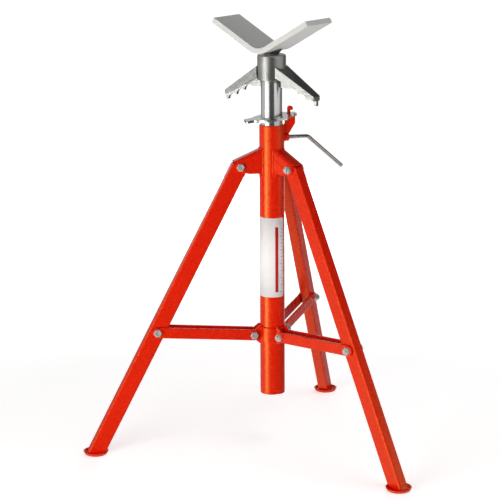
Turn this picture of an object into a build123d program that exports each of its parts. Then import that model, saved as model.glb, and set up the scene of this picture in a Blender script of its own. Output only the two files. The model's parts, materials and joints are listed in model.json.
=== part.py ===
from build123d import *
from math import acos, atan2, cos, degrees, hypot, radians, sin, tan
import os

os.makedirs("parts", exist_ok=True)

# A pipe jack stand on three folding legs. Lengths are millimetres and angles are degrees. The origin is on the
# floor under the tube, +Z is up, and an azimuth is measured from +X towards +Y.

# Layout
leg_count = 3
full_turn = 360
half_turn = 180
first_leg_azimuth = 90
hook_azimuth = 30
wing_azimuth = -13
saddle_azimuth = -15.7
crimp_azimuth = -51

# Fits
slide_gap = 0.3
side_gap = 0.35
pin_gap = 0.08
seat_gap = 0.05
overrun = 5.0

# Mast tube and the main tube that it slides in
mast_od = 38.1
mast_wall = 2.4
mast_length = 540.0
mast_extension = 75.7
main_tube_wall = 2.875
main_tube_length = 492.0
main_tube_over_pivot = 72.3
rim_break = 0.6
crimp_depth = 1.5
crimp_height = 7.0

# Legs and feet
leg_angle = 27.4
leg_length = 582.0
leg_depth = 29.0
leg_width = 19.0
leg_wall = 2.0
leg_corner = 2.5
pivot_standoff = 36.5
foot_radius = 22.6
foot_height = 6.0
foot_sole = 2.5
foot_taper = 3.0
foot_rim = 2.2
foot_floor_round = 1.6

# Leg brackets: pressed channels, open below, whose web stops the leg's mitred head
bracket_sheet = 3.0
bracket_standoff = 10.3
bracket_slope = 23.3
bracket_bend = 6.0
bracket_inner_bend = 1.0
bracket_drop = 12.5
bracket_end_radius = 8.4
bracket_end_turn = 25.0
bracket_root_radius = 4.5
bracket_root_reach = 1.5
leg_stop_gap = 0.5

# Bolts, heads and lock nuts
bolt_diameter = 7.94
bolt_head_flats = 12.7
bolt_head_height = 5.0
bolt_head_break = 0.8
bolt_recess_diameter = 5.0
bolt_recess_depth = 1.2
nut_height = 5.0
nut_collar_height = 1.8
nut_collar_wall = 1.5
bolt_end = 2.2

# Sliding collar and braces
collar_height = 28.4
collar_wall = 2.5
collar_bolt_standoff = 13.8
ear_thickness = 3.0
ear_height = 33.0
ear_end_radius = 7.0
brace_bolt_along_leg = 331.0
brace_rise = 14.1
bar_width = 19.05
bar_thickness = 3.2

# Hook, clutch plate and clamp screw
hook_thickness = 6.0
hook_root_depth = 15.5
hook_foot_reach = 8.8
hook_shoulder_height = 14.2
hook_reach = 19.3
hook_edge_height = 12.5
hook_step_standoff = 1.2
hook_step_height = 6.5
hook_neck_standoff = 5.8
hook_neck_width = 5.0
hook_head_gap = 10.8
hook_head_height = 7.2
hook_head_reach = 4.5
hook_head_round = 4.0
hook_tip_round = 1.5
hook_edge_round = 5.0
clutch_tilt = 7.0
clutch_thickness = 4.5
clutch_disc_radius = 36.0
clutch_tab_width = 30.0
clutch_tab_end_width = 27.0
clutch_tab_reach = 48.0
clutch_tongue_width = 22.0
clutch_end_bar = 10.0
clutch_slot_gap = 1.0
clutch_corner = 3.0
clutch_root_round = 5.0
clamp_drop = 23.0
clamp_nut_flats = 12.4
clamp_nut_reach = 8.2
clamp_rod_diameter = 7.0
clamp_straight = 42.8
clamp_handle_reach = 62.0
clamp_handle_angle = 42.0
clamp_bend = 10.0
rod_end_break = 0.8

# Jack screw, its bushing and the wing nut
screw_diameter = 25.4
screw_length = 274.7
screw_end_break = 2.0
screw_gap = 0.1
bushing_flange = 4.0
bushing_lip = 0.75
bushing_spigot = 12.0
hub_wall = 12.7
hub_height = 44.0
hub_break = 2.0
hub_mouth = 2.0
wing_reach = 93.0
wing_root_drop = 20.0
wing_slope = 33.2
wing_side_height = 19.0
wing_side_slope = 26.4
wing_root_half_width = 20.0
wing_tip_half_width = 10.0
wing_wall = 4.0
wing_rib = 6.5
wing_rib_gap = 0.7
wing_rib_drop = 13.5
wing_tooth_count = 3
wing_tooth_pitch = 18.8
wing_tooth_slope = 28.6
wing_first_tooth = 18.0
wing_scallop_depth = 5.5
wing_tip_round = 3.0

# Saddle: a bent plate on a coped boss
saddle_slope = 29.5
saddle_reach = 96.2
saddle_plate = 9.5
saddle_width = 76.2
saddle_bend = 28.8
saddle_offset = -3.3
saddle_seat = 2.2
boss_gap = 1.7
boss_radius = 18.3
boss_land = 0.3
boss_round_height = 5.6

# Places that follow from the sizes above
mast_radius = mast_od / 2
main_radius = mast_radius + slide_gap + main_tube_wall
pivot_radius = main_radius + pivot_standoff
pivot_height = leg_length * cos(radians(leg_angle))
main_tube_top = pivot_height + main_tube_over_pivot
main_tube_bottom = main_tube_top - main_tube_length
brace_bolt_radius = pivot_radius + brace_bolt_along_leg * sin(radians(leg_angle))
brace_bolt_height = pivot_height - brace_bolt_along_leg * cos(radians(leg_angle))
collar_bolt_radius = main_radius + collar_bolt_standoff
collar_bolt_height = brace_bolt_height - brace_rise
brace_run = brace_bolt_radius - collar_bolt_radius
brace_length = hypot(brace_run, brace_rise)
brace_angle = degrees(atan2(brace_rise, brace_run))
mast_top = main_tube_top + mast_extension
hub_bottom = mast_top + bushing_flange + slide_gap
hub_top = hub_bottom + hub_height
boss_bottom = hub_top + boss_gap
outer_bend = saddle_bend + saddle_plate
under_vertex = boss_bottom + saddle_seat + outer_bend - outer_bend / cos(radians(saddle_slope))
top_vertex = under_vertex + saddle_plate / cos(radians(saddle_slope))
clamp_height = main_tube_top - clamp_drop
bolt_radius = bolt_diameter / 2
leg_half_width = leg_width / 2
flange_inner = leg_half_width + side_gap
flange_outer = flange_inner + bracket_sheet
web_top = bracket_standoff + bracket_sheet
web_normal = radians(90 - bracket_slope)
web_lean = radians(90 - bracket_slope - leg_angle)
bar_inner = leg_half_width + side_gap
bar_outer = bar_inner + bar_thickness
screw_radius = screw_diameter / 2
hub_radius = screw_radius + screw_gap + hub_wall
leg_azimuths = [first_leg_azimuth + full_turn / leg_count * i for i in range(leg_count)]


def side_plane(azimuth, radius=0, height=0, rise=0):
    """An upright plane through the tube's axis, X outward and turned up by rise, its normal to the right."""
    a = radians(azimuth)
    up = radians(rise)
    return Plane(
        origin=(radius * cos(a), radius * sin(a), height),
        x_dir=(cos(up) * cos(a), cos(up) * sin(a), sin(up)),
        z_dir=(sin(a), -cos(a), 0),
    )


def level_plane(azimuth, height):
    """A level plane on the tube's axis with X along the azimuth."""
    a = radians(azimuth)
    return Plane(origin=(0, 0, height), x_dir=(cos(a), sin(a), 0), z_dir=(0, 0, 1))


def facing_plane(azimuth, radius, height=0):
    """A plane square to the azimuth, at a radius, with its normal outward and Y up."""
    a = radians(azimuth)
    return Plane(
        origin=(radius * cos(a), radius * sin(a), height),
        x_dir=(-sin(a), cos(a), 0),
        z_dir=(cos(a), sin(a), 0),
    )


def along_leg(distance, outward=0):
    """Radius and height of a point on the leg's bolt line, moved square to it by outward."""
    a = radians(leg_angle)
    return (
        pivot_radius + distance * sin(a) + outward * cos(a),
        pivot_height - distance * cos(a) + outward * sin(a),
    )


def leg_at_height(height, outward=0):
    """The point of a line along the leg where it reaches a height."""
    a = radians(leg_angle)
    return along_leg((pivot_height + outward * sin(a) - height) / cos(a), outward)


def save(piece, name):
    piece.label = name
    export_step(piece, f"parts/{name}.step")


# Tubes
with BuildPart() as main_tube:
    with BuildSketch(Plane.XY.offset(main_tube_bottom)):
        Circle(main_radius)
        Circle(main_radius - main_tube_wall, mode=Mode.SUBTRACT)
    extrude(amount=main_tube_length)
    chamfer(main_tube.faces().sort_by(Axis.Z)[-1].edges(), rim_break)
    for i in range(leg_count):
        crimp_plane = facing_plane(crimp_azimuth + full_turn / leg_count * i, main_radius - crimp_depth)
        with BuildSketch(crimp_plane):
            with Locations((0, main_tube_bottom)):
                Rectangle(main_radius, crimp_height, align=(Align.CENTER, Align.MIN))
        extrude(amount=main_radius, mode=Mode.SUBTRACT)
    with BuildSketch(facing_plane(hook_azimuth, 0, clamp_height)):
        Circle(clamp_rod_diameter / 2 + slide_gap)
    extrude(amount=main_radius + overrun, mode=Mode.SUBTRACT)
save(main_tube.part, "main_tube")

with BuildPart() as mast_tube:
    with BuildSketch(Plane.XY.offset(mast_top - mast_length)):
        Circle(mast_radius)
        Circle(mast_radius - mast_wall, mode=Mode.SUBTRACT)
    extrude(amount=mast_length)
    chamfer(mast_tube.faces().sort_by(Axis.Z)[0].edges(), rim_break)
save(mast_tube.part, "mast_tube")


# Brackets
def off_web(distance, along):
    """A point at a distance from the pivot, square to the bracket's web, then moved outward along the web."""
    return (
        pivot_radius + distance * cos(web_normal) + along * sin(web_normal),
        pivot_height + distance * sin(web_normal) - along * cos(web_normal),
    )


def make_bracket(azimuth):
    web = side_plane(azimuth, pivot_radius, pivot_height, -bracket_slope)
    section = Plane(origin=web.origin, x_dir=web.z_dir, z_dir=-web.x_dir)
    bottom = pivot_height - bracket_drop
    root = main_radius + bracket_root_reach + bracket_root_radius
    foot_reach = leg_depth / 2 / cos(radians(leg_angle))
    foot_angle = atan2(-bracket_drop, -foot_reach) + acos(bracket_end_radius / hypot(foot_reach, bracket_drop))
    end_turn = radians(bracket_end_turn)
    cheek_rise = (bracket_standoff - bracket_end_radius * cos(web_normal - end_turn)) / sin(web_normal - end_turn)
    cheek_end = hypot(bracket_end_radius, cheek_rise)
    cheek_angle = end_turn + atan2(cheek_rise, bracket_end_radius)
    tongue = (leg_depth / 2 - web_top * cos(web_lean)) / sin(web_lean)
    with BuildPart() as bracket:
        with BuildSketch(section) as channel:
            with Locations((0, web_top)):
                Rectangle(2 * flange_outer, 2 * pivot_radius, align=(Align.CENTER, Align.MAX))
            fillet(channel.vertices().group_by(Axis.Y)[-1], bracket_bend)
            with Locations((0, bracket_standoff)):
                Rectangle(
                    2 * flange_inner, 2 * pivot_radius, align=(Align.CENTER, Align.MAX), mode=Mode.SUBTRACT
                )
            for side in (1, -1):
                corner = channel.vertices().sort_by_distance((side * flange_inner, bracket_standoff))[0]
                fillet(corner, bracket_inner_bend)
        extrude(amount=2 * pivot_radius, both=True)
        with BuildSketch(side_plane(azimuth)):
            with BuildLine():
                CenterArc((root, bottom - bracket_root_radius), bracket_root_radius, half_turn, -90)
                end = CenterArc(
                    (pivot_radius, pivot_height),
                    bracket_end_radius,
                    degrees(foot_angle),
                    bracket_end_turn - degrees(foot_angle),
                )
                Polyline((root, bottom), (pivot_radius - foot_reach, bottom), end @ 0)
                Polyline(
                    end @ 1,
                    (pivot_radius + cheek_end * cos(cheek_angle), pivot_height + cheek_end * sin(cheek_angle)),
                    off_web(bracket_standoff, tongue),
                    off_web(web_top + overrun, tongue),
                    off_web(web_top + overrun, -pivot_radius),
                    (main_radius / 2, bottom - bracket_root_radius),
                    (root - bracket_root_radius, bottom - bracket_root_radius),
                )
            make_face()
        extrude(amount=flange_outer, both=True, mode=Mode.INTERSECT)
        with BuildSketch(Plane.XY):
            Circle(main_radius + seat_gap)
        extrude(amount=main_tube_top, mode=Mode.SUBTRACT)
        with BuildSketch(side_plane(azimuth, pivot_radius, pivot_height)):
            Circle(bolt_radius + seat_gap)
        extrude(amount=flange_outer + overrun, both=True, mode=Mode.SUBTRACT)
    return bracket.part


# Bolts and lock nuts, each along the normal of the side plane through its centre
def make_bolt(azimuth, radius, height, half_grip, tail):
    """A hex bolt whose head seats at the left end of the grip, with its shank a tail past the right end."""
    middle = side_plane(azimuth, radius, height)
    seat = middle.offset(-half_grip)
    with BuildPart() as bolt:
        with BuildSketch(seat):
            RegularPolygon(bolt_head_flats / 2, 6, major_radius=False)
        extrude(amount=-bolt_head_height)
        face = bolt.faces().sort_by(Axis(seat.origin, seat.z_dir))[0]
        chamfer(face.edges(), bolt_head_break)
        with BuildSketch(middle.offset(-half_grip - bolt_head_height)):
            Circle(bolt_recess_diameter / 2)
        extrude(amount=bolt_recess_depth, mode=Mode.SUBTRACT)
        with BuildSketch(seat):
            Circle(bolt_radius)
        extrude(amount=2 * half_grip + tail)
    return bolt.part


def make_nut(azimuth, radius, height, half_grip):
    """A hex nut with a round locking collar, seated at the right end of the grip."""
    seat = side_plane(azimuth, radius, height).offset(half_grip)
    with BuildPart() as nut:
        with BuildSketch(seat):
            RegularPolygon(bolt_head_flats / 2, 6, major_radius=False)
        extrude(amount=nut_height)
        with BuildSketch(seat.offset(nut_height)):
            Circle(bolt_radius + nut_collar_wall)
        extrude(amount=nut_collar_height)
        with BuildSketch(seat):
            Circle(bolt_radius + seat_gap)
        extrude(amount=nut_height + nut_collar_height, mode=Mode.SUBTRACT)
    return nut.part


nut_tail = nut_height + nut_collar_height + bolt_end


# Legs and feet
def make_leg(azimuth):
    half = leg_depth / 2
    tilt = leg_angle - 90
    bolt_line = side_plane(azimuth, pivot_radius, pivot_height, tilt)
    section = Plane(origin=bolt_line.origin, x_dir=bolt_line.y_dir, z_dir=bolt_line.x_dir)
    head_radius = bracket_standoff - leg_stop_gap
    outer_rise = (head_radius - half * cos(web_lean)) / sin(web_lean)
    inner_rise = (head_radius + half * cos(web_normal)) / sin(web_normal)
    outer_foot = leg_at_height(foot_sole, half)
    inner_foot = leg_at_height(foot_sole, -half)
    with BuildPart() as leg:
        with BuildSketch(section.offset(-leg_depth)):
            RectangleRounded(leg_depth, leg_width, leg_corner)
            offset(amount=-leg_wall, mode=Mode.SUBTRACT)
        extrude(amount=leg_length + leg_depth * 2)
        with BuildSketch(side_plane(azimuth)):
            with BuildLine():
                head = CenterArc((pivot_radius, pivot_height), head_radius, degrees(web_normal), leg_angle)
                Polyline(
                    head @ 1,
                    along_leg(-inner_rise, -half),
                    inner_foot,
                    outer_foot,
                    along_leg(-outer_rise, half),
                    head @ 0,
                )
            make_face()
        extrude(amount=leg_width, both=True, mode=Mode.INTERSECT)
        with BuildSketch(bolt_line):
            Circle(bolt_radius + pin_gap)
            with Locations((brace_bolt_along_leg, 0)):
                Circle(bolt_radius + seat_gap)
        extrude(amount=leg_width, both=True, mode=Mode.SUBTRACT)
    return leg.part


def make_foot(azimuth):
    centre = leg_at_height(foot_sole)[0]
    floor_radius = foot_radius - foot_taper
    dish_radius = floor_radius - foot_rim / 2
    with BuildPart() as foot:
        with BuildSketch(side_plane(azimuth, centre)) as profile:
            with BuildLine():
                Polyline(
                    (0, 0),
                    (floor_radius, 0),
                    (foot_radius, foot_height),
                    (foot_radius - foot_rim, foot_height),
                    (dish_radius, foot_sole),
                    (0, foot_sole),
                    close=True,
                )
            make_face()
            fillet(profile.vertices().sort_by_distance((floor_radius, 0))[0], foot_floor_round)
        revolve(axis=Axis(side_plane(azimuth, centre).origin, (0, 0, 1)))
    return foot.part


# Sliding collar with an ear on each side of every brace
def ear_face(azimuth, sign):
    """The plane of an ear's outer face, on the right (1) or the left (-1) of its brace."""
    return side_plane(azimuth, 0, collar_bolt_height).offset(sign * leg_half_width)


with BuildPart() as collar:
    with BuildSketch(Plane.XY.offset(collar_bolt_height - collar_height / 2)):
        Circle(main_radius + side_gap + collar_wall)
    extrude(amount=collar_height)
    for azimuth in leg_azimuths:
        for sign in (1, -1):
            with BuildSketch(ear_face(azimuth, sign)):
                with BuildLine():
                    Polyline(
                        (collar_bolt_radius, -ear_end_radius),
                        (main_radius + collar_wall, -ear_height / 2),
                        (mast_radius / 2, -ear_height / 2),
                        (mast_radius / 2, ear_height / 2),
                        (main_radius + collar_wall, ear_height / 2),
                        (collar_bolt_radius, ear_end_radius),
                    )
                    CenterArc((collar_bolt_radius, 0), ear_end_radius, 90, -half_turn)
                make_face()
            extrude(amount=-sign * ear_thickness)
    with BuildSketch(Plane.XY.offset(main_tube_bottom)):
        Circle(main_radius + side_gap)
    extrude(amount=main_tube_length, mode=Mode.SUBTRACT)
    for azimuth in leg_azimuths:
        with BuildSketch(side_plane(azimuth, collar_bolt_radius, collar_bolt_height)):
            Circle(bolt_radius + seat_gap)
        extrude(amount=leg_width, both=True, mode=Mode.SUBTRACT)
save(collar.part, "collar")


# Braces
def make_bar(azimuth, sign):
    """A flat bar with round ends, on the right (1) or the left (-1) of the leg."""
    middle = side_plane(azimuth, collar_bolt_radius, collar_bolt_height, brace_angle)
    with BuildPart() as bar:
        with BuildSketch(middle.offset(sign * bar_inner)):
            with Locations((brace_length / 2, 0)):
                SlotCenterToCenter(brace_length, bar_width)
            Circle(bolt_radius + pin_gap, mode=Mode.SUBTRACT)
            with Locations((brace_length, 0)):
                Circle(bolt_radius + seat_gap, mode=Mode.SUBTRACT)
        extrude(amount=sign * bar_thickness)
    return bar.part


def make_bolt_middle(azimuth):
    """The stretch of the brace bolt that lies inside the leg."""
    with BuildPart() as shank:
        with BuildSketch(side_plane(azimuth, brace_bolt_radius, brace_bolt_height)):
            Circle(bolt_radius)
        extrude(amount=leg_half_width, both=True)
    return shank.part


def make_bolt_head(azimuth):
    """The brace bolt's head and the stretch in the left bar."""
    seat = side_plane(azimuth, brace_bolt_radius, brace_bolt_height).offset(-bar_outer)
    with BuildPart() as head:
        with BuildSketch(seat):
            RegularPolygon(bolt_head_flats / 2, 6, major_radius=False)
        extrude(amount=-bolt_head_height)
        face = head.faces().sort_by(Axis(seat.origin, seat.z_dir))[0]
        chamfer(face.edges(), bolt_head_break)
        with BuildSketch(seat.offset(-bolt_head_height)):
            Circle(bolt_recess_diameter / 2)
        extrude(amount=bolt_recess_depth, mode=Mode.SUBTRACT)
        with BuildSketch(seat):
            Circle(bolt_radius)
        extrude(amount=bar_thickness)
    return head.part


def make_bolt_nut(azimuth):
    """The brace bolt's lock nut, with the threaded end through it and the stretch in the right bar."""
    seat = side_plane(azimuth, brace_bolt_radius, brace_bolt_height).offset(bar_outer)
    with BuildPart() as nut:
        with BuildSketch(seat):
            RegularPolygon(bolt_head_flats / 2, 6, major_radius=False)
        extrude(amount=nut_height)
        with BuildSketch(seat.offset(nut_height)):
            Circle(bolt_radius + nut_collar_wall)
        extrude(amount=nut_collar_height)
        with BuildSketch(seat.offset(-bar_thickness)):
            Circle(bolt_radius)
        extrude(amount=bar_thickness + nut_tail)
    return nut.part


collar_grip = bar_outer + slide_gap
for i, azimuth in enumerate(leg_azimuths, 1):
    save(make_bracket(azimuth), f"bracket_{i}")
    save(make_bolt(azimuth, pivot_radius, pivot_height, flange_outer, nut_tail), f"pivot_bolt_{i}")
    save(make_nut(azimuth, pivot_radius, pivot_height, flange_outer), f"pivot_nut_{i}")
    save(make_leg(azimuth), f"leg_{i}")
    save(make_foot(azimuth), f"foot_{i}")
    save(make_bolt(azimuth, collar_bolt_radius, collar_bolt_height, collar_grip, nut_tail), f"collar_bolt_{i}")
    save(make_nut(azimuth, collar_bolt_radius, collar_bolt_height, collar_grip), f"collar_nut_{i}")
    save(make_bar(azimuth, -1), f"brace_left_{i}")
    save(make_bar(azimuth, 1), f"brace_right_{i}")
    save(make_bolt_middle(azimuth), f"brace_bolt_{i}")
    save(make_bolt_head(azimuth), f"brace_bolt_head_{i}")
    save(make_bolt_nut(azimuth), f"brace_bolt_nut_{i}")

# Hook that carries the clutch plate
hook_foot = main_radius + hook_foot_reach
hook_edge = main_radius + hook_reach
step_inner = main_radius + hook_step_standoff
step_top = main_tube_top + hook_step_height
neck_inner = main_radius + hook_neck_standoff
neck_outer = neck_inner + hook_neck_width
head_edge = neck_outer + hook_head_reach
hook_base = main_tube_top - hook_root_depth
shoulder = main_tube_top + hook_shoulder_height
head_bottom = shoulder + hook_head_gap
head_top = head_bottom + hook_head_height
with BuildPart() as hook:
    with BuildSketch(side_plane(hook_azimuth)) as outline:
        with BuildLine():
            Polyline(
                (mast_radius, hook_base),
                (hook_foot, hook_base),
                (hook_edge, shoulder - hook_edge_height),
                (hook_edge, shoulder),
                (neck_outer, shoulder),
                (neck_outer, head_bottom),
                (head_edge, head_bottom),
                (head_edge, head_top),
                (neck_inner, head_top),
                (neck_inner, step_top),
                (step_inner, step_top),
                (step_inner, main_tube_top + rim_break),
                (mast_radius, main_tube_top - rim_break),
                close=True,
            )
        make_face()
        for point, round_radius in (
            ((head_edge, head_bottom), hook_tip_round),
            ((head_edge, head_top), hook_head_round),
            ((neck_inner, head_top), hook_head_round),
            ((hook_edge, shoulder - hook_edge_height), hook_edge_round),
        ):
            fillet(outline.vertices().sort_by_distance(point)[0], round_radius)
    extrude(amount=hook_thickness / 2, both=True)
    with BuildSketch(Plane.XY.offset(main_tube_bottom)):
        Circle(main_radius + seat_gap)
    extrude(amount=main_tube_length + rim_break, mode=Mode.SUBTRACT)
save(hook.part, "hook")

# Clutch plate, tilted on the hook's shoulder with its free tab low
clutch_hinge_radius = neck_outer + slide_gap
clutch_hinge_height = shoulder + slide_gap
clutch_fall = clutch_hinge_radius * tan(radians(clutch_tilt))
clutch_middle = clutch_hinge_height - clutch_fall + clutch_thickness / 2 / cos(radians(clutch_tilt))
clutch_opening = mast_od + 2 * side_gap + clutch_thickness * sin(radians(clutch_tilt))
clutch_bore = clutch_opening / cos(radians(clutch_tilt)) / 2
slot_inner = neck_inner - clutch_slot_gap
slot_outer = neck_outer + clutch_slot_gap
slot_width = hook_thickness + 2 * clutch_slot_gap
tilted = side_plane(hook_azimuth, 0, clutch_middle, clutch_tilt)
clutch_plane = Plane(origin=tilted.origin, x_dir=tilted.x_dir, z_dir=tilted.y_dir)
tongue_end = slot_outer + clutch_end_bar
with BuildPart() as clutch_plate:
    with BuildSketch(clutch_plane) as outline:
        Circle(clutch_disc_radius)
        with BuildLine():
            Polyline(
                (0, clutch_tab_width / 2),
                (-clutch_tab_reach, clutch_tab_end_width / 2),
                (-clutch_tab_reach, -clutch_tab_end_width / 2),
                (0, -clutch_tab_width / 2),
                close=True,
            )
        make_face()
        with Locations((tongue_end / 2, 0)):
            Rectangle(tongue_end, clutch_tongue_width)
        ends = outline.vertices().group_by(Axis.X)
        fillet(ends[0] + ends[-1], clutch_corner)
        roots = [v for v in outline.vertices() if abs(hypot(v.X, v.Y) - clutch_disc_radius) < seat_gap]
        fillet(roots, clutch_root_round)
        Circle(clutch_bore, mode=Mode.SUBTRACT)
        with Locations(((slot_inner + slot_outer) / 2, 0)):
            Rectangle(slot_outer - slot_inner, slot_width, mode=Mode.SUBTRACT)
    extrude(amount=clutch_thickness / 2, both=True)
save(clutch_plate.part, "clutch_plate")

# Clamp nut, welded on the tube, and its bent clamp screw
clamp_radius = clamp_rod_diameter / 2
with BuildPart() as clamp_nut:
    with BuildSketch(facing_plane(hook_azimuth, main_radius - main_tube_wall, clamp_height)):
        RegularPolygon(clamp_nut_flats / 2, 6, major_radius=False, rotation=30)
        Circle(clamp_radius + pin_gap, mode=Mode.SUBTRACT)
    extrude(amount=main_tube_wall + clamp_nut_reach)
    with BuildSketch(Plane.XY.offset(clamp_height)):
        Circle(main_radius + seat_gap)
    extrude(amount=clamp_nut_flats, both=True, mode=Mode.SUBTRACT)
save(clamp_nut.part, "clamp_nut")

clamp_start = mast_radius + slide_gap
clamp_corner = main_radius + clamp_straight
with BuildPart() as clamp_screw:
    with BuildLine(side_plane(hook_azimuth, 0, clamp_height)):
        FilletPolyline(
            (clamp_start, 0),
            (clamp_corner, 0),
            (clamp_corner + clamp_handle_reach, -clamp_handle_reach * tan(radians(clamp_handle_angle))),
            radius=clamp_bend,
        )
    with BuildSketch(facing_plane(hook_azimuth, clamp_start, clamp_height)):
        Circle(clamp_radius)
    sweep()
    chamfer(clamp_screw.edges().filter_by(GeomType.CIRCLE).sort_by(Axis.Z)[0], rod_end_break)
save(clamp_screw.part, "clamp_screw")

# Bushing in the mast's top, which the wing nut turns on
with BuildPart() as bushing:
    with BuildSketch(Plane.XY.offset(mast_top)):
        Circle(mast_radius + bushing_lip)
    extrude(amount=bushing_flange)
    with BuildSketch(Plane.XY.offset(mast_top)):
        Circle(mast_radius - mast_wall - seat_gap)
    extrude(amount=-bushing_spigot)
    with BuildSketch(Plane.XY.offset(mast_top + bushing_flange)):
        Circle(screw_radius + slide_gap)
    extrude(amount=-bushing_flange - bushing_spigot, mode=Mode.SUBTRACT)
save(bushing.part, "bushing")

# Wing nut: a hub with two hollow arms, each stiffened by a toothed rib
wing_root = hub_radius - screw_radius / 2
wing_root_top = hub_top - wing_root_drop
rib_start = mast_radius + bushing_lip + wing_rib_gap
rib_bottom = hub_bottom - wing_rib_drop
first_tooth = rib_start + wing_first_tooth
tooth_step = wing_tooth_pitch * cos(radians(wing_tooth_slope))
tooth_fall = wing_tooth_pitch * sin(radians(wing_tooth_slope))


def wing_top(u, sunk=0):
    """Height of the arm's top at a distance from the axis, or of a line sunk square to it."""
    slope = radians(wing_slope)
    return wing_root_top - (u - wing_root) * tan(slope) - sunk / cos(slope)


def wing_side(u):
    """Height of the lower edge of the arm's side walls."""
    return wing_root_top - wing_side_height - (u - wing_root) * tan(radians(wing_side_slope))


def wing_block(azimuth, start, reach, inset, sunk, floor):
    """An arm's outer block, or with an inset and a sunk top the hollow in it, down to a floor line."""
    narrow = wing_tip_half_width - inset
    wide = wing_root_half_width - inset
    with BuildPart() as block:
        with BuildSketch(side_plane(azimuth)):
            with BuildLine():
                Polyline(
                    (start, wing_top(start, sunk)),
                    (reach, wing_top(reach, sunk)),
                    (reach, floor(reach)),
                    (start, floor(start)),
                    close=True,
                )
            make_face()
        extrude(amount=wing_root_half_width, both=True)
        with BuildSketch(level_plane(azimuth, hub_bottom)) as plan:
            with BuildLine():
                Polyline((start, wide), (reach, narrow), (reach, -narrow), (start, -wide), close=True)
            make_face()
            fillet(plan.vertices().group_by(Axis.X)[-1], wing_tip_round)
        extrude(amount=wing_reach, both=True, mode=Mode.INTERSECT)
    return block.part


def wing_teeth():
    """The rib's lower outline, from the hub to the tip: tooth tips with a hollow arc after each."""
    points = [(first_tooth + i * tooth_step, rib_bottom - i * tooth_fall) for i in range(wing_tooth_count)]
    last = (wing_reach - wing_wall, points[-1][1] - tooth_fall)
    return points + [last]


def make_rib(azimuth):
    teeth = wing_teeth()
    slope = radians(wing_tooth_slope)
    with BuildPart() as rib:
        with BuildSketch(side_plane(azimuth)):
            with BuildLine():
                Polyline(
                    teeth[-1],
                    (wing_reach, teeth[-1][1]),
                    (wing_reach, wing_top(wing_reach)),
                    (rib_start, wing_top(rib_start)),
                    (rib_start, rib_bottom),
                    teeth[0],
                )
                for a, b in zip(teeth, teeth[1:]):
                    middle = (
                        (a[0] + b[0]) / 2 + wing_scallop_depth * sin(slope),
                        (a[1] + b[1]) / 2 + wing_scallop_depth * cos(slope),
                    )
                    ThreePointArc(a, middle, b)
            make_face()
        extrude(amount=wing_rib / 2, both=True)
    return rib.part


def below_sides(u):
    return wing_side(u) - overrun


wing_pieces = []
for azimuth in (wing_azimuth, wing_azimuth + half_turn):
    outer = wing_block(azimuth, wing_root, wing_reach, 0, 0, wing_side)
    hollow = wing_block(azimuth, wing_root, wing_reach - wing_wall, wing_wall, wing_wall, below_sides)
    rib = make_rib(azimuth)
    wing_pieces.append((outer, hollow, rib))

with BuildPart() as wing_nut:
    for outer, hollow, rib in wing_pieces:
        add(outer)
    for outer, hollow, rib in wing_pieces:
        add(hollow, mode=Mode.SUBTRACT)
    for outer, hollow, rib in wing_pieces:
        add(rib)
    with BuildSketch(Plane.XY.offset(hub_bottom)):
        Circle(hub_radius)
    extrude(amount=hub_height)
    chamfer(wing_nut.faces().sort_by(Axis.Z)[-1].edges(), hub_break)
    with BuildSketch(Plane.XY.offset(hub_bottom)):
        Circle(screw_radius + screw_gap)
    extrude(amount=hub_height, mode=Mode.SUBTRACT)
    chamfer(wing_nut.faces().sort_by(Axis.Z)[-1].inner_wires().edges(), hub_mouth)
save(wing_nut.part, "wing_nut")

# Jack screw and the saddle on it
with BuildPart() as jack_screw:
    with BuildSketch(Plane.XY.offset(boss_bottom)):
        Circle(screw_radius)
    extrude(amount=-screw_length)
    chamfer(jack_screw.faces().sort_by(Axis.Z)[0].edges(), screw_end_break)
save(jack_screw.part, "jack_screw")


def saddle_underside(u):
    """Height of the saddle's flat undersides at a distance along its azimuth, before the bend is rounded."""
    return under_vertex + abs(u - saddle_offset) * tan(radians(saddle_slope))


with BuildPart() as saddle:
    slope = radians(saddle_slope)
    under_reach = saddle_reach + saddle_plate * sin(slope)
    with BuildSketch(side_plane(saddle_azimuth)) as profile:
        with BuildLine():
            Polyline(
                (saddle_offset, top_vertex),
                (saddle_reach, saddle_underside(under_reach) + saddle_plate * cos(slope)),
                (under_reach, saddle_underside(under_reach)),
                (saddle_offset, under_vertex),
                (-under_reach, saddle_underside(-under_reach)),
                (-saddle_reach, saddle_underside(-under_reach) + saddle_plate * cos(slope)),
                close=True,
            )
        make_face()
        fillet(profile.vertices().sort_by_distance((saddle_offset, top_vertex))[0], saddle_bend)
        fillet(profile.vertices().sort_by_distance((saddle_offset, under_vertex))[0], outer_bend)
    extrude(amount=saddle_width / 2, both=True)
save(saddle.part, "saddle")

boss_top = saddle_underside(boss_radius + abs(saddle_offset))
with BuildPart() as boss:
    boss_bottom_radius = screw_radius + boss_land
    with BuildSketch(Plane.XZ):
        with BuildLine():
            Polyline(
                (0, boss_bottom),
                (boss_bottom_radius, boss_bottom),
                (boss_radius, boss_bottom + boss_round_height),
                (boss_radius, boss_top),
                (0, boss_top),
                close=True,
            )
        make_face()
    revolve(axis=Axis.Z)
    with BuildSketch(side_plane(saddle_azimuth)) as above:
        wide = 2 * boss_radius
        with BuildLine():
            Polyline(
                (saddle_offset, under_vertex - seat_gap),
                (wide, saddle_underside(wide) - seat_gap),
                (wide, boss_top + wide),
                (-wide, boss_top + wide),
                (-wide, saddle_underside(-wide) - seat_gap),
                close=True,
            )
        make_face()
        fillet(above.vertices().sort_by_distance((saddle_offset, under_vertex - seat_gap))[0], outer_bend)
    extrude(amount=boss_radius * 2, both=True, mode=Mode.SUBTRACT)
save(boss.part, "saddle_boss")

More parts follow.
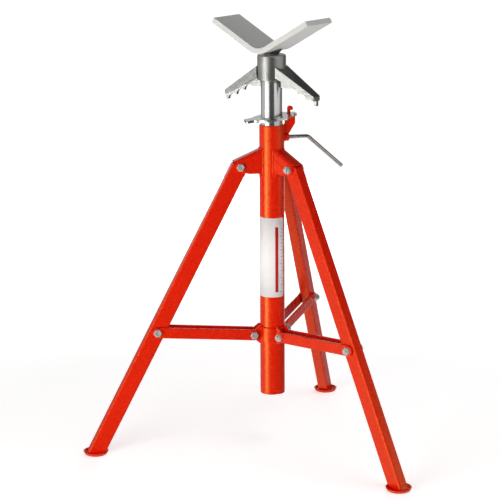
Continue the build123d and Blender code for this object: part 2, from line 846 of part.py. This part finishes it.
print(f"pivot r {pivot_radius:.2f} z {pivot_height:.2f}, tube {main_tube_bottom:.2f} to {main_tube_top:.2f}")
print(f"brace {brace_length:.2f} long at {brace_angle:.2f}, bolt r {brace_bolt_radius:.2f} z {brace_bolt_height:.2f}")
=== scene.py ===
"""Looks of a pipe jack stand: enamel, plating, castings, welds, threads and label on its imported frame."""
import math

import bpy
from mathutils import Matrix, Vector
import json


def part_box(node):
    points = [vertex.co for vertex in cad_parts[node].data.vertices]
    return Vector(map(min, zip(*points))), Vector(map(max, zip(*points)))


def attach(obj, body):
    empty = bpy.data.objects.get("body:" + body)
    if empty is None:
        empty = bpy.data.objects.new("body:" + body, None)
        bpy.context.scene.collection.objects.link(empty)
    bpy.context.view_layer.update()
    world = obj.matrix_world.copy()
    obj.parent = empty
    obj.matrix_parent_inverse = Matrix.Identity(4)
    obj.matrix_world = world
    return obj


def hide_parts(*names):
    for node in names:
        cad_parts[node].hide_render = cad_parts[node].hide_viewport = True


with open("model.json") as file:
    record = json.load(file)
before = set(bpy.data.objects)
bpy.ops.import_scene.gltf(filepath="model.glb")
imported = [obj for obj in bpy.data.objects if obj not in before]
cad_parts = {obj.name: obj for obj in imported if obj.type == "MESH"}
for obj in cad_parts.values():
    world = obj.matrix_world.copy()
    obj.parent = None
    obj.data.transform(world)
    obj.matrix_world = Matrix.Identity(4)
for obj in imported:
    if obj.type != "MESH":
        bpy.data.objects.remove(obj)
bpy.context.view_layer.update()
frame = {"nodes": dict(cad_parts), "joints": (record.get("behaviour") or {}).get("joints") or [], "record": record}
joints = {joint["name"]: joint for joint in frame["joints"]}

# Units: Blender's metres and radians
mm = 0.001
degree = math.pi / 180
full_turn = 2 * math.pi
quarter_turn = full_turn / 4

# The camera, fitted to the photograph
camera_place = (985.7 * mm, -2862.5 * mm, 1075.7 * mm)
camera_heading = 109.754 * degree
camera_pitch = 13.266 * degree
camera_roll = -0.361 * degree
camera_lens = 125.02
camera_reach = 100.0
sensor_width = 36.0

# Floor, ceiling and world, with levels where 1 is white
floor_reach = 14.0
floor_glow = 0.60
floor_glow_far = 1.0
floor_glow_from = 0.6
floor_glow_to = 2.2
ceiling_height = 2.4
ceiling_level = 0.05
ceiling_reach = 6.0
world_light = 0.10
backdrop_level = 1.0
pure_white = (1.0, 1.0, 1.0)

# Cards that only shiny surfaces show: name, first and last azimuth in degrees, bottom and top in metres, and
# a level where 1 is white
card_radius = 3.6
card_columns = 12
card_bottom = -3.0
card_top = 2.3
cards = (
    ("flag_left", -242, -211, card_bottom, 0.2, 0.15),
    ("flag_left_high", -242, -211, 0.2, card_top, 0.75),
    ("card_left_far", -211, -194, card_bottom, 1.2, 0.35),
    ("card_left", -194, -146, card_bottom, -0.15, 0.54),
    ("card_left_high", -194, -146, -0.15, 1.2, 0.50),
    ("card_key_high", -146, -98, 0.03, 1.5, 0.9),
    ("card_key", -140, -115, -0.85, 0.03, 7.5),
    ("card_key_low", -146, -113, -2.0, -0.85, 2.2),
    ("card_front", -98, -44, -0.85, card_top, 0.07),
    ("card_front_low", -98, -44, card_bottom, -0.85, 0.20),
    ("card_right", -44, 8, 0.0, 0.24, 0.78),
    ("card_right_low", -44, 30, card_bottom, 0.0, 0.10),
    ("card_right_far", 8, 30, 0.0, 0.24, 0.45),
    ("flag_right", 30, 78, card_bottom, card_top, 0.12),
)

# Lamps: name, azimuth in degrees, distance and height in metres, size in metres, power in watts and colour
lamp_aim = (0.0, 0.0, 0.4)
warm_white = (1.0, 0.98, 0.95)
lamps = (
    ("key", -107, 1.9, 0.35, (1.2, 1.0), 31, warm_white),
    ("fill", 4, 2.2, 0.25, (1.2, 0.9), 12, pure_white),
    ("rear", 100, 2.5, 0.5, (1.6, 1.2), 34, pure_white),
    ("top", -10, 0.7, 2.2, (1.0, 1.0), 8, pure_white),
)

# Materials: the stretch of a noise's values that a change runs over, how sharp an edge gets its paler colour of
# wear and painted highlight, and the samples of a softened edge
usual_range = (0.3, 0.7)
narrow_range = (0.35, 0.65)
wide_range = (0.2, 0.8)
wear_and_highlight_range = (0.56, 0.59)
soften_samples = 6

# Sockets of a Mix node that mixes colours, by number, because its other sockets have the same names
mix_factor = 0
mix_first = 6
mix_second = 7
mix_result = 2

# Legs and feet, as their welds follow them
leg_numbers = (1, 2, 3)
leg_angle = 27.4 * degree
leg_depth = 29.0 * mm
leg_width = 19.0 * mm
leg_corner = 2.5 * mm
foot_sole = 2.5 * mm

# Brackets, hook and clamp nut, as their welds follow them
bracket_slope = 23.3 * degree
bracket_web_top = 13.3 * mm
bracket_bend = 6.0 * mm
bracket_bend_steps = 6
bracket_crown_steps = 6
hook_thickness = 6.0 * mm
clamp_nut_flats = 12.4 * mm
clamp_nut_reach = 8.2 * mm

# Welds
bead_radius = 1.7 * mm
bead_sides = 10
bead_end_share = 0.5
bead_ripple_share = 0.12
bead_ripple_pitch = 2.6 * mm
bead_step = 0.9 * mm
hook_bead_radius = 1.3 * mm
nut_bead_radius = 1.2 * mm
nut_bead_standoff = 0.7 * mm
nut_bead_corners = 24
foot_bead_radius = 1.4 * mm

# Jack screw thread
thread_pitch = 5.08 * mm
thread_depth = 2.4 * mm
thread_flat_share = 0.3
thread_sides = 32
thread_end_break = 2.0 * mm

# Clamp screw thread
rod_radius = 3.5 * mm
rod_thread_pitch = 1.4 * mm
rod_thread_height = 0.35 * mm
rod_thread_length = 15.0 * mm
rod_thread_steps = 16
rod_thread_sides = 6

# Label, with its stripe and ticks; the tick angles are one long tick's and those up to the next
label_angles = (190.0 * degree, 350.0 * degree)
label_ends = (279.7 * mm, 424.3 * mm)
label_thickness = 0.15 * mm
label_sink = 0.15 * mm
label_corner = 3.0 * mm
label_column_step = 4.0 * degree
stripe_angles = (303.0 * degree, 318.0 * degree)
stripe_ends = (289.0 * mm, 408.0 * mm)
stripe_lift = 0.06 * mm
tick_step = 6.35 * mm
tick_height = 0.7 * mm
tick_end_angle = 343.0 * degree
tick_angles = (16.0 * degree, 7.0 * degree, 11.0 * degree, 7.0 * degree)

# Sizes read from the frame
tube_low, tube_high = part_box("main_tube")
tube_radius = (tube_high - tube_low).x / 2
screw_low, screw_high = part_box("jack_screw")
screw_radius = (screw_high - screw_low).x / 2


# Materials
class Shader:
    """A Principled material with helpers that link procedural nodes to it."""

    def __init__(self, name, metallic=0.0, specular=0.5):
        self.material = bpy.data.materials.new(name)
        self.material.use_nodes = True
        self.tree = self.material.node_tree
        self.shader = self.tree.nodes["Principled BSDF"]
        self.set("Metallic", metallic)
        self.set("Specular IOR Level", specular)
        self.place = self.node("ShaderNodeTexCoord").outputs["Object"]
        self.normal = None

    def set(self, socket, value):
        self.shader.inputs[socket].default_value = value

    def link(self, source, target):
        self.tree.links.new(source, target)

    def node(self, kind, **inputs):
        made = self.tree.nodes.new(kind)
        for name, value in inputs.items():
            made.inputs[name].default_value = value
        return made

    def stretched(self, scale):
        """The object's place, stretched by a scale along each axis."""
        mapping = self.node("ShaderNodeMapping", Scale=scale)
        self.link(self.place, mapping.inputs["Vector"])
        return mapping.outputs["Vector"]

    def noise(self, scale, detail=3.0, rough=0.5, stretch=None):
        made = self.node("ShaderNodeTexNoise", Scale=scale, Detail=detail, Roughness=rough)
        self.link(self.stretched(stretch) if stretch else self.place, made.inputs["Vector"])
        return made.outputs["Fac"]

    def cells(self, scale):
        """A random colour for each cell of a Voronoi pattern."""
        made = self.node("ShaderNodeTexVoronoi", Scale=scale)
        self.link(self.place, made.inputs["Vector"])
        return made.outputs["Color"]

    def ramp(self, factor, first, last, ends=usual_range):
        """A colour that goes from first to last while a factor runs between two ends."""
        made = self.node("ShaderNodeValToRGB")
        for element, at, color in zip(made.color_ramp.elements, ends, (first, last)):
            element.position = at
            element.color = (*color, 1)
        self.link(factor, made.inputs["Fac"])
        return made.outputs["Color"]

    def spread(self, factor, ends, first, last):
        """A number that goes from first to last while a factor runs between two ends."""
        made = self.node("ShaderNodeMapRange")
        for name, value in zip(("From Min", "From Max", "To Min", "To Max"), (*ends, first, last)):
            made.inputs[name].default_value = value
        self.link(factor, made.inputs["Value"])
        return made.outputs["Result"]

    def worn_and_highlit_edges(self, source, wear_and_highlight_color):
        """Lets a paler colour show on the most curved edges: partly bare worn metal, partly a painted edge
        highlight.
        """
        edge = self.node("ShaderNodeNewGeometry").outputs["Pointiness"]
        mix = self.node("ShaderNodeMix")
        mix.data_type = "RGBA"
        self.link(self.spread(edge, wear_and_highlight_range, 0.0, 1.0), mix.inputs[mix_factor])
        self.link(source, mix.inputs[mix_first])
        mix.inputs[mix_second].default_value = (*wear_and_highlight_color, 1)
        return mix.outputs[mix_result]

    def color(self, source):
        self.link(source, self.shader.inputs["Base Color"])

    def roughness(self, factor, smooth, rough):
        self.link(self.spread(factor, usual_range, smooth, rough), self.shader.inputs["Roughness"])

    def soften(self, radius):
        """Rounds the look of sharp edges."""
        bevel = self.node("ShaderNodeBevel", Radius=radius)
        bevel.samples = soften_samples
        self.normal = bevel.outputs["Normal"]
        self.link(self.normal, self.shader.inputs["Normal"])

    def bump(self, height, strength, distance):
        made = self.node("ShaderNodeBump", Strength=strength, Distance=distance)
        self.link(height, made.inputs["Height"])
        if self.normal:
            self.link(self.normal, made.inputs["Normal"])
        self.normal = made.outputs["Normal"]
        self.link(self.normal, self.shader.inputs["Normal"])


def red_enamel():
    deep = (0.75, 0.007, 0.002)
    bright = (0.79, 0.009, 0.003)
    reflection = (1.0, 0.66, 0.13)
    made = Shader("red_enamel", specular=0.9)
    made.set("Specular Tint", (*reflection, 1))
    made.color(made.ramp(made.noise(scale=9.0, detail=4.0), deep, bright, narrow_range))
    made.roughness(made.noise(scale=60.0), smooth=0.25, rough=0.29)
    made.soften(radius=2.4 * mm)
    made.bump(made.noise(scale=420.0, detail=2.0), strength=0.03, distance=0.10 * mm)
    return made.material


def plated_tube():
    dull = (0.80, 0.81, 0.80)
    bright = (0.90, 0.91, 0.90)
    made = Shader("plated_tube", metallic=1.0)
    lines = made.noise(scale=260.0, detail=4.0, stretch=(1.0, 1.0, 0.02))
    clouds = made.noise(scale=30.0, stretch=(1.0, 1.0, 0.15))
    made.color(made.ramp(clouds, dull, bright))
    made.roughness(lines, smooth=0.11, rough=0.22)
    made.bump(lines, strength=0.05, distance=0.05 * mm)
    return made.material


def zinc_plate(name, metallic):
    cool = (0.58, 0.59, 0.57)
    warm = (0.70, 0.69, 0.66)
    made = Shader(name, metallic)
    made.color(made.ramp(made.cells(scale=320.0), cool, warm, wide_range))
    made.roughness(made.noise(scale=500.0), smooth=0.18, rough=0.36)
    made.soften(radius=0.9 * mm)
    made.bump(made.noise(scale=900.0), strength=0.12, distance=0.08 * mm)
    return made.material


def grey_casting():
    dark = (0.36, 0.36, 0.34)
    pale = (0.46, 0.46, 0.44)
    made = Shader("grey_casting", metallic=1.0)
    made.color(made.ramp(made.noise(scale=45.0, detail=4.0), dark, pale))
    made.roughness(made.noise(scale=700.0, detail=5.0, rough=0.6), smooth=0.31, rough=0.41)
    made.soften(radius=1.2 * mm)
    made.bump(made.noise(scale=260.0, detail=4.0, rough=0.6), strength=0.45, distance=0.8 * mm)
    return made.material


def saddle_steel():
    dark = (0.61, 0.61, 0.59)
    pale = (0.67, 0.67, 0.65)
    bare_and_highlight = (0.72, 0.72, 0.70)
    made = Shader("saddle_steel", specular=0.25)
    grain = made.noise(scale=850.0, detail=4.0, rough=0.6)
    # The paler colour on the sharp edges is partly bare worn steel and partly a painted edge highlight.
    made.color(made.worn_and_highlit_edges(made.ramp(made.noise(scale=28.0, detail=5.0), dark, pale), bare_and_highlight))
    made.roughness(grain, smooth=0.40, rough=0.52)
    made.soften(radius=0.9 * mm)
    made.bump(grain, strength=0.2, distance=0.15 * mm)
    return made.material


def dark_steel():
    black = (0.11, 0.11, 0.10)
    brown = (0.20, 0.19, 0.18)
    made = Shader("dark_steel", metallic=0.8)
    made.color(made.ramp(made.noise(scale=60.0, detail=4.0), black, brown))
    made.roughness(made.noise(scale=300.0), smooth=0.34, rough=0.52)
    made.soften(radius=0.6 * mm)
    return made.material


def machined_steel():
    oiled = (0.46, 0.45, 0.42)
    clean = (0.62, 0.62, 0.60)
    made = Shader("machined_steel", metallic=1.0)
    rings = made.noise(scale=500.0, stretch=(0.05, 0.05, 1.0))
    made.color(made.ramp(made.noise(scale=25.0, detail=4.0), oiled, clean, narrow_range))
    made.roughness(rings, smooth=0.22, rough=0.40)
    made.bump(rings, strength=0.06, distance=0.05 * mm)
    return made.material


def label_film(name, dark, pale):
    made = Shader(name, specular=0.25)
    made.set("Roughness", 0.5)
    made.color(made.ramp(made.noise(scale=90.0), dark, pale))
    made.bump(made.noise(scale=1200.0), strength=0.04, distance=0.03 * mm)
    return made.material


enamel = red_enamel()
plated = plated_tube()
zinc = zinc_plate("zinc_plate", metallic=1.0)
bolt_zinc = zinc_plate("bolt_zinc", metallic=0.5)
casting = grey_casting()
plate_grey = saddle_steel()
boss_dark = dark_steel()
machined = machined_steel()
label_white = label_film("label_white", dark=(0.90, 0.91, 0.91), pale=(0.94, 0.95, 0.95))
label_red = label_film("label_red", dark=(0.52, 0.012, 0.014), pale=(0.60, 0.018, 0.018))
label_ink = label_film("label_ink", dark=(0.10, 0.10, 0.11), pale=(0.16, 0.16, 0.17))

slot_materials = {
    "red_paint": enamel,
    "zinc": zinc,
    "chrome": plated,
    "grey_iron": casting,
    "grey_saddle": plate_grey,
    "screw_steel": machined,
}
fastener_names = ("pivot_", "collar_bolt", "collar_nut", "brace_bolt")


def solid_material(node, slot):
    """The material of a solid by its slot, apart from the fasteners and the saddle's boss."""
    if node.startswith(fastener_names):
        return bolt_zinc
    if node == "saddle_boss":
        return boss_dark
    return slot_materials[slot]


def dress_solids():
    for part in frame["record"]["subparts"]:
        mesh = frame["nodes"][part["node"]].data
        mesh.materials.clear()
        mesh.materials.append(solid_material(part["node"], part["material_slot"]))


# Mesh helpers
def new_object(name, points, faces, material):
    mesh = bpy.data.meshes.new(name)
    mesh.from_pydata([tuple(p) for p in points], [], faces)
    mesh.materials.append(material)
    made = bpy.data.objects.new(name, mesh)
    bpy.context.collection.objects.link(made)
    return made


def make_piece(name, points, faces, body, material, smooth=True):
    """A piece of the part that rides on a body and wears a material."""
    piece = new_object(name, points, faces, material)
    if smooth:
        piece.data.shade_smooth()
    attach(piece, body)
    return piece


def joined(parts):
    """The points and faces of several meshes as one."""
    points = []
    faces = []
    for part_points, part_faces in parts:
        shift = len(points)
        points += part_points
        faces += [tuple(k + shift for k in face) for face in part_faces]
    return points, faces


def ring_faces(rings, sides, closed=False):
    """Faces over a row of rings of points, with an end face at each open end."""
    faces = []
    for i in range(rings if closed else rings - 1):
        here = i * sides
        ahead = (i + 1) % rings * sides
        for k in range(sides):
            after = (k + 1) % sides
            faces.append((here + k, here + after, ahead + after, ahead + k))
    if not closed:
        faces.append(tuple(reversed(range(sides))))
        faces.append(tuple(range((rings - 1) * sides, rings * sides)))
    return faces


def tube_mesh(path, radii, sides, closed=False):
    """Points and faces of a tube along a path, with a radius at each point."""
    points = []
    count = len(path)
    side = None
    for i, (p, r) in enumerate(zip(path, radii)):
        ahead = path[(i + 1) % count] if closed or i + 1 < count else p
        behind = path[i - 1] if closed or i > 0 else p
        along = (ahead - behind).normalized()
        if side is None:
            side = along.orthogonal().normalized()
        side = (side - along * side.dot(along)).normalized()
        up = along.cross(side)
        for k in range(sides):
            a = full_turn * k / sides
            points.append(p + (side * math.cos(a) + up * math.sin(a)) * r)
    return points, ring_faces(count, sides, closed)


def resample(path, step, closed=False):
    """A path's corners joined by evenly spaced points."""
    corners = (path + [path[0]]) if closed else path
    made = []
    for a, b in zip(corners, corners[1:]):
        count = max(1, round((b - a).length / step))
        made += [a.lerp(b, i / count) for i in range(count)]
    return made if closed else made + [corners[-1]]


def around(azimuth, radius, height, aside=0.0):
    """A place by its azimuth, its distance outward, its height and its distance to the left."""
    x = radius * math.cos(azimuth) - aside * math.sin(azimuth)
    y = radius * math.sin(azimuth) + aside * math.cos(azimuth)
    return Vector((x, y, height))


def joint_place(name):
    """Azimuth, radius and height of a joint."""
    x, y, z = joints[name]["pos_m"]
    return math.atan2(y, x), math.hypot(x, y), z


def tube_skin(aside):
    """How far out the main tube's skin lies, at a distance aside of its middle."""
    return math.sqrt(tube_radius ** 2 - aside ** 2)


# Threads
def thread_ridge():
    """Points and faces of the jack screw's trapezoidal ridge, cut off level at its ends and broken below."""
    flat = thread_flat_share * thread_pitch
    slope = (thread_pitch - 2 * flat) / 2
    profile = (
        (0.0, 0.0),
        (flat, 0.0),
        (flat + slope, thread_depth),
        (2 * flat + slope, thread_depth),
        (thread_pitch, 0.0),
    )
    turns = (screw_high.z - screw_low.z) / thread_pitch
    steps = int(turns * thread_sides)
    points = []
    for i in range(steps + 1):
        angle = full_turn * i / thread_sides
        base = screw_low.z + thread_pitch * i / thread_sides - thread_pitch
        for rise, depth in profile:
            z = min(max(base + rise, screw_low.z), screw_high.z)
            end = min(z - screw_low.z, thread_end_break)
            radius = min(screw_radius - depth, screw_radius - thread_end_break + end)
            points.append(around(angle, radius, z))
    width = len(profile)
    faces = []
    for i in range(steps):
        for k in range(width - 1):
            a = i * width + k
            faces.append((a, a + width, a + width + 1, a + 1))
    return points, faces


def thread_core():
    """Points and faces of the jack screw's core."""
    points = []
    for z in (screw_low.z, screw_high.z):
        for k in range(thread_sides):
            points.append(around(full_turn * k / thread_sides, screw_radius - thread_depth, z))
    return points, ring_faces(2, thread_sides)


def jack_thread():
    points, faces = joined((thread_ridge(), thread_core()))
    thread = make_piece("jack_thread", points, faces, "head", machined, smooth=False)
    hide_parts("jack_screw")


def clamp_thread():
    """A helix round the clamp screw between its nut and its bend, which fades over a turn at each end."""
    azimuth, _, height = joint_place("clamp_turn")
    turns = rod_thread_length / rod_thread_pitch
    count = int(turns * rod_thread_steps)
    path = []
    radii = []
    for i in range(count + 1):
        angle = full_turn * i / rod_thread_steps
        out = tube_radius + clamp_nut_reach + rod_thread_length * i / count
        z = height + rod_radius * math.sin(angle)
        path.append(around(azimuth, out, z, rod_radius * math.cos(angle)))
        fade = min(1, (i + 1) / rod_thread_steps, (count + 1 - i) / rod_thread_steps)
        radii.append(rod_thread_height * fade)
    points, faces = tube_mesh(path, radii, rod_thread_sides)
    make_piece("clamp_thread", points, faces, "clamp", zinc)


# Label: a white film with a stripe and a plain scale of ticks
def wrapped_patch(angles, ends, radius, corner=0.0):
    """Points and faces of a thin patch between two azimuths and two heights, its back sunk in the tube."""
    first, last = angles
    low, high = ends
    inner = radius - label_thickness - label_sink
    columns = round((last - first) / label_column_step)
    points = []
    for i in range(columns + 1):
        a = first + (last - first) * i / columns
        edge = min(a - first, last - a) * radius
        cut = 0.0
        if edge < corner:
            cut = corner - math.sqrt(max(corner ** 2 - (corner - edge) ** 2, 0.0))
        ring = ((inner, high - cut), (radius, high - cut), (radius, low + cut), (inner, low + cut))
        points += [around(a, r, z) for r, z in ring]
    return points, ring_faces(columns + 1, len(ring))


def make_label():
    base_radius = tube_radius + label_thickness
    marks_radius = base_radius + stripe_lift
    points, faces = wrapped_patch(label_angles, label_ends, base_radius, label_corner)
    make_piece("label_base", points, faces, "stand", label_white)
    points, faces = wrapped_patch(stripe_angles, stripe_ends, marks_radius)
    make_piece("label_stripe", points, faces, "stand", label_red)
    bottom, top = stripe_ends
    ticks = []
    for i in range(int((top - bottom) / tick_step) + 1):
        start_angle = tick_end_angle - tick_angles[i % len(tick_angles)]
        z = bottom + i * tick_step
        ticks.append(wrapped_patch((start_angle, tick_end_angle), (z, z + tick_height), marks_radius))
    points, faces = joined(ticks)
    make_piece("label_ticks", points, faces, "stand", label_ink)


# Welds
def weld_bead(name, path, body, radius=bead_radius, closed=False):
    """A rippled weld bead along a path, thinner at its open ends."""
    points = resample(path, bead_step, closed)
    waves = full_turn * bead_step / bead_ripple_pitch
    radii = [radius * (1 + bead_ripple_share * math.sin(i * waves)) for i in range(len(points))]
    if not closed:
        radii[0] *= bead_end_share
        radii[-1] *= bead_end_share
    made, faces = tube_mesh(points, radii, bead_sides, closed)
    make_piece(name, made, faces, body, enamel)


def bracket_welds():
    """A bead round each bracket's end on the tube: up one cheek, over the rounded web and down the other."""
    low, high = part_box("bracket_1")
    half_width = (high - low).x / 2
    shoulder = half_width - bracket_bend
    turns = [quarter_turn * k / bracket_bend_steps for k in range(bracket_bend_steps + 1)]
    rounds = [(shoulder + bracket_bend * math.cos(a), bracket_bend * (math.sin(a) - 1)) for a in turns]
    crown = [(shoulder * (1 - 2 * k / bracket_crown_steps), 0.0) for k in range(1, bracket_crown_steps)]
    outline = rounds + crown + [(-aside, drop) for aside, drop in reversed(rounds)]
    for i in leg_numbers:
        azimuth, radius, height = joint_place(f"leg_fold_{i}")
        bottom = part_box(f"bracket_{i}")[0].z
        path = []
        for aside, drop in outline:
            off = bracket_web_top + drop
            out = tube_skin(aside)
            inward = (radius - out) * math.tan(bracket_slope)
            path.append(around(azimuth, out, height + off / math.cos(bracket_slope) + inward, aside))
        first, last = [around(azimuth, tube_skin(half_width), bottom, side * half_width) for side in (1, -1)]
        weld_bead(f"bracket_weld_{i}", [first] + path + [last], "stand")


def hook_welds():
    """A straight bead on each side of the hook's root."""
    azimuth, _, _ = joint_place("clamp_turn")
    low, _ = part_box("hook")
    half_angle = math.asin(hook_thickness / 2 / tube_radius)
    for name, side in (("left", 1), ("right", -1)):
        a = azimuth + side * half_angle
        path = [around(a, tube_radius, z) for z in (low.z, tube_high.z - bead_radius)]
        weld_bead(f"hook_weld_{name}", path, "stand", hook_bead_radius)


def clamp_nut_weld():
    """A round bead on the tube's skin, round the clamp nut."""
    azimuth, _, height = joint_place("clamp_turn")
    ring_radius = clamp_nut_flats / 2 + nut_bead_standoff
    ring = []
    for k in range(nut_bead_corners):
        a = full_turn * k / nut_bead_corners
        aside = ring_radius * math.cos(a)
        ring.append(around(azimuth, tube_skin(aside), height + ring_radius * math.sin(a), aside))
    weld_bead("clamp_nut_weld", ring, "stand", nut_bead_radius, closed=True)


def foot_welds():
    """A bead round each leg's slanted end, where it stands on the sole of its foot."""
    half_long = leg_depth / 2 / math.cos(leg_angle)
    half_wide = leg_width / 2
    for i in leg_numbers:
        azimuth, _, _ = joint_place(f"leg_fold_{i}")
        low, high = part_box(f"foot_{i}")
        centre = (low + high) / 2
        middle = math.hypot(centre.x, centre.y)
        sole = low.z + foot_sole
        path = []
        for out, aside in ((1, 1), (-1, 1), (-1, -1), (1, -1)):
            after_end = around(azimuth, middle + out * half_long, sole, aside * (half_wide - leg_corner))
            after_side = around(azimuth, middle + out * (half_long - leg_corner), sole, aside * half_wide)
            path += [after_end, after_side] if out == aside else [after_side, after_end]
        weld_bead(f"foot_weld_{i}", path, f"leg_{i}", foot_bead_radius, closed=True)


# Camera, lamps and studio
def make_camera():
    flat_heading = Vector((math.cos(camera_heading), math.sin(camera_heading), 0.0))
    forward = flat_heading * math.cos(camera_pitch) - Vector((0.0, 0.0, math.sin(camera_pitch)))
    level = Vector((math.sin(camera_heading), -math.cos(camera_heading), 0.0))
    upright = level.cross(forward)
    right = level * math.cos(camera_roll) + upright * math.sin(camera_roll)
    up = upright * math.cos(camera_roll) - level * math.sin(camera_roll)
    data = bpy.data.cameras.new("camera")
    data.lens = camera_lens
    data.sensor_width = sensor_width
    data.clip_end = camera_reach
    camera = bpy.data.objects.new("camera", data)
    turned = Matrix((right, up, -forward)).transposed().to_4x4()
    camera.matrix_world = Matrix.Translation(camera_place) @ turned
    bpy.context.collection.objects.link(camera)
    bpy.context.scene.camera = camera


def area_light(name, azimuth, distance, height, size, power, color):
    data = bpy.data.lights.new(name, "AREA")
    data.shape = "RECTANGLE"
    data.size, data.size_y = size
    data.energy = power
    data.color = color
    light = bpy.data.objects.new(name, data)
    light.location = around(azimuth * degree, distance, height)
    light.rotation_mode = "QUATERNION"
    light.rotation_quaternion = (Vector(lamp_aim) - light.location).to_track_quat("-Z", "Y")
    light.visible_camera = False
    light.visible_glossy = False
    bpy.context.collection.objects.link(light)


def seen_directly(tree, shown, hidden):
    """A strength for what the camera, a mirror or a glass sees, and another for what lights a surface."""
    rays = tree.nodes.new("ShaderNodeLightPath")
    source = rays.outputs["Is Camera Ray"]
    for name in ("Is Glossy Ray", "Is Transmission Ray"):
        either = tree.nodes.new("ShaderNodeMath")
        either.operation = "MAXIMUM"
        tree.links.new(source, either.inputs[0])
        tree.links.new(rays.outputs[name], either.inputs[1])
        source = either.outputs[0]
    level = tree.nodes.new("ShaderNodeMapRange")
    level.inputs["To Min"].default_value = hidden
    if isinstance(shown, bpy.types.NodeSocket):
        tree.links.new(shown, level.inputs["To Max"])
    else:
        level.inputs["To Max"].default_value = shown
    tree.links.new(source, level.inputs["Value"])
    return level.outputs["Result"]


def make_world():
    world = bpy.data.worlds.new("studio")
    bpy.context.scene.world = world
    world.use_nodes = True
    tree = world.node_tree
    background = tree.nodes["Background"]
    background.inputs["Color"].default_value = (*pure_white, 1)
    tree.links.new(seen_directly(tree, backdrop_level, world_light), background.inputs["Strength"])


def stage_piece(name, points, faces, material):
    piece = new_object(name, points, faces, material)
    return piece


def level_square(name, reach, height, material):
    """A level square round the object, at a height."""
    points = [(x * reach, y * reach, height) for x, y in ((-1, -1), (1, -1), (1, 1), (-1, 1))]
    return stage_piece(name, points, (tuple(range(len(points))),), material)


def floor_white():
    """A white that glows more the further it is from the object."""
    dull = (0.85, 0.85, 0.85)
    bright = (0.87, 0.87, 0.87)
    made = Shader("floor_white", specular=0.1)
    made.set("Roughness", 0.9)
    made.color(made.ramp(made.noise(scale=3.0), dull, bright))
    made.set("Emission Color", (*pure_white, 1))
    distance = made.node("ShaderNodeVectorMath")
    distance.operation = "LENGTH"
    made.link(made.place, distance.inputs[0])
    glow_range = (floor_glow_from, floor_glow_to)
    glow = made.spread(distance.outputs["Value"], glow_range, floor_glow, floor_glow_far)
    made.link(seen_directly(made.tree, glow, 0.0), made.shader.inputs["Emission Strength"])
    return made.material


def make_floor():
    """The floor, which mirrors look through to the cards round it."""
    floor = level_square("floor", floor_reach, 0.0, floor_white())
    floor.visible_glossy = False
    floor.visible_shadow = False


def glowing(name, level):
    material = bpy.data.materials.new(name)
    material.use_nodes = True
    tree = material.node_tree
    tree.nodes.remove(tree.nodes["Principled BSDF"])
    glow = tree.nodes.new("ShaderNodeEmission")
    glow.inputs["Color"].default_value = (*pure_white, 1)
    glow.inputs["Strength"].default_value = level
    tree.links.new(glow.outputs[0], tree.nodes["Material Output"].inputs["Surface"])
    return material


def only_reflected(piece):
    piece.visible_camera = False
    piece.visible_diffuse = False
    piece.visible_shadow = False


def studio_card(name, first, last, bottom, top, level):
    """A curved card round the object that only shiny surfaces show."""
    points = []
    for k in range(card_columns + 1):
        a = (first + (last - first) * k / card_columns) * degree
        points += [around(a, card_radius, z) for z in (bottom, top)]
    faces = [(2 * k, 2 * k + 2, 2 * k + 3, 2 * k + 1) for k in range(card_columns)]
    only_reflected(stage_piece(name, points, faces, glowing(name, level)))


def ceiling_card():
    name = "ceiling_card"
    only_reflected(level_square(name, ceiling_reach, ceiling_height, glowing(name, ceiling_level)))


dress_solids()
jack_thread()
clamp_thread()
make_label()
bracket_welds()
hook_welds()
clamp_nut_weld()
foot_welds()
make_camera()
make_world()
for lamp in lamps:
    area_light(*lamp)
make_floor()
for card in cards:
    studio_card(*card)
ceiling_card()
bpy.context.scene.view_settings.view_transform = "Standard"
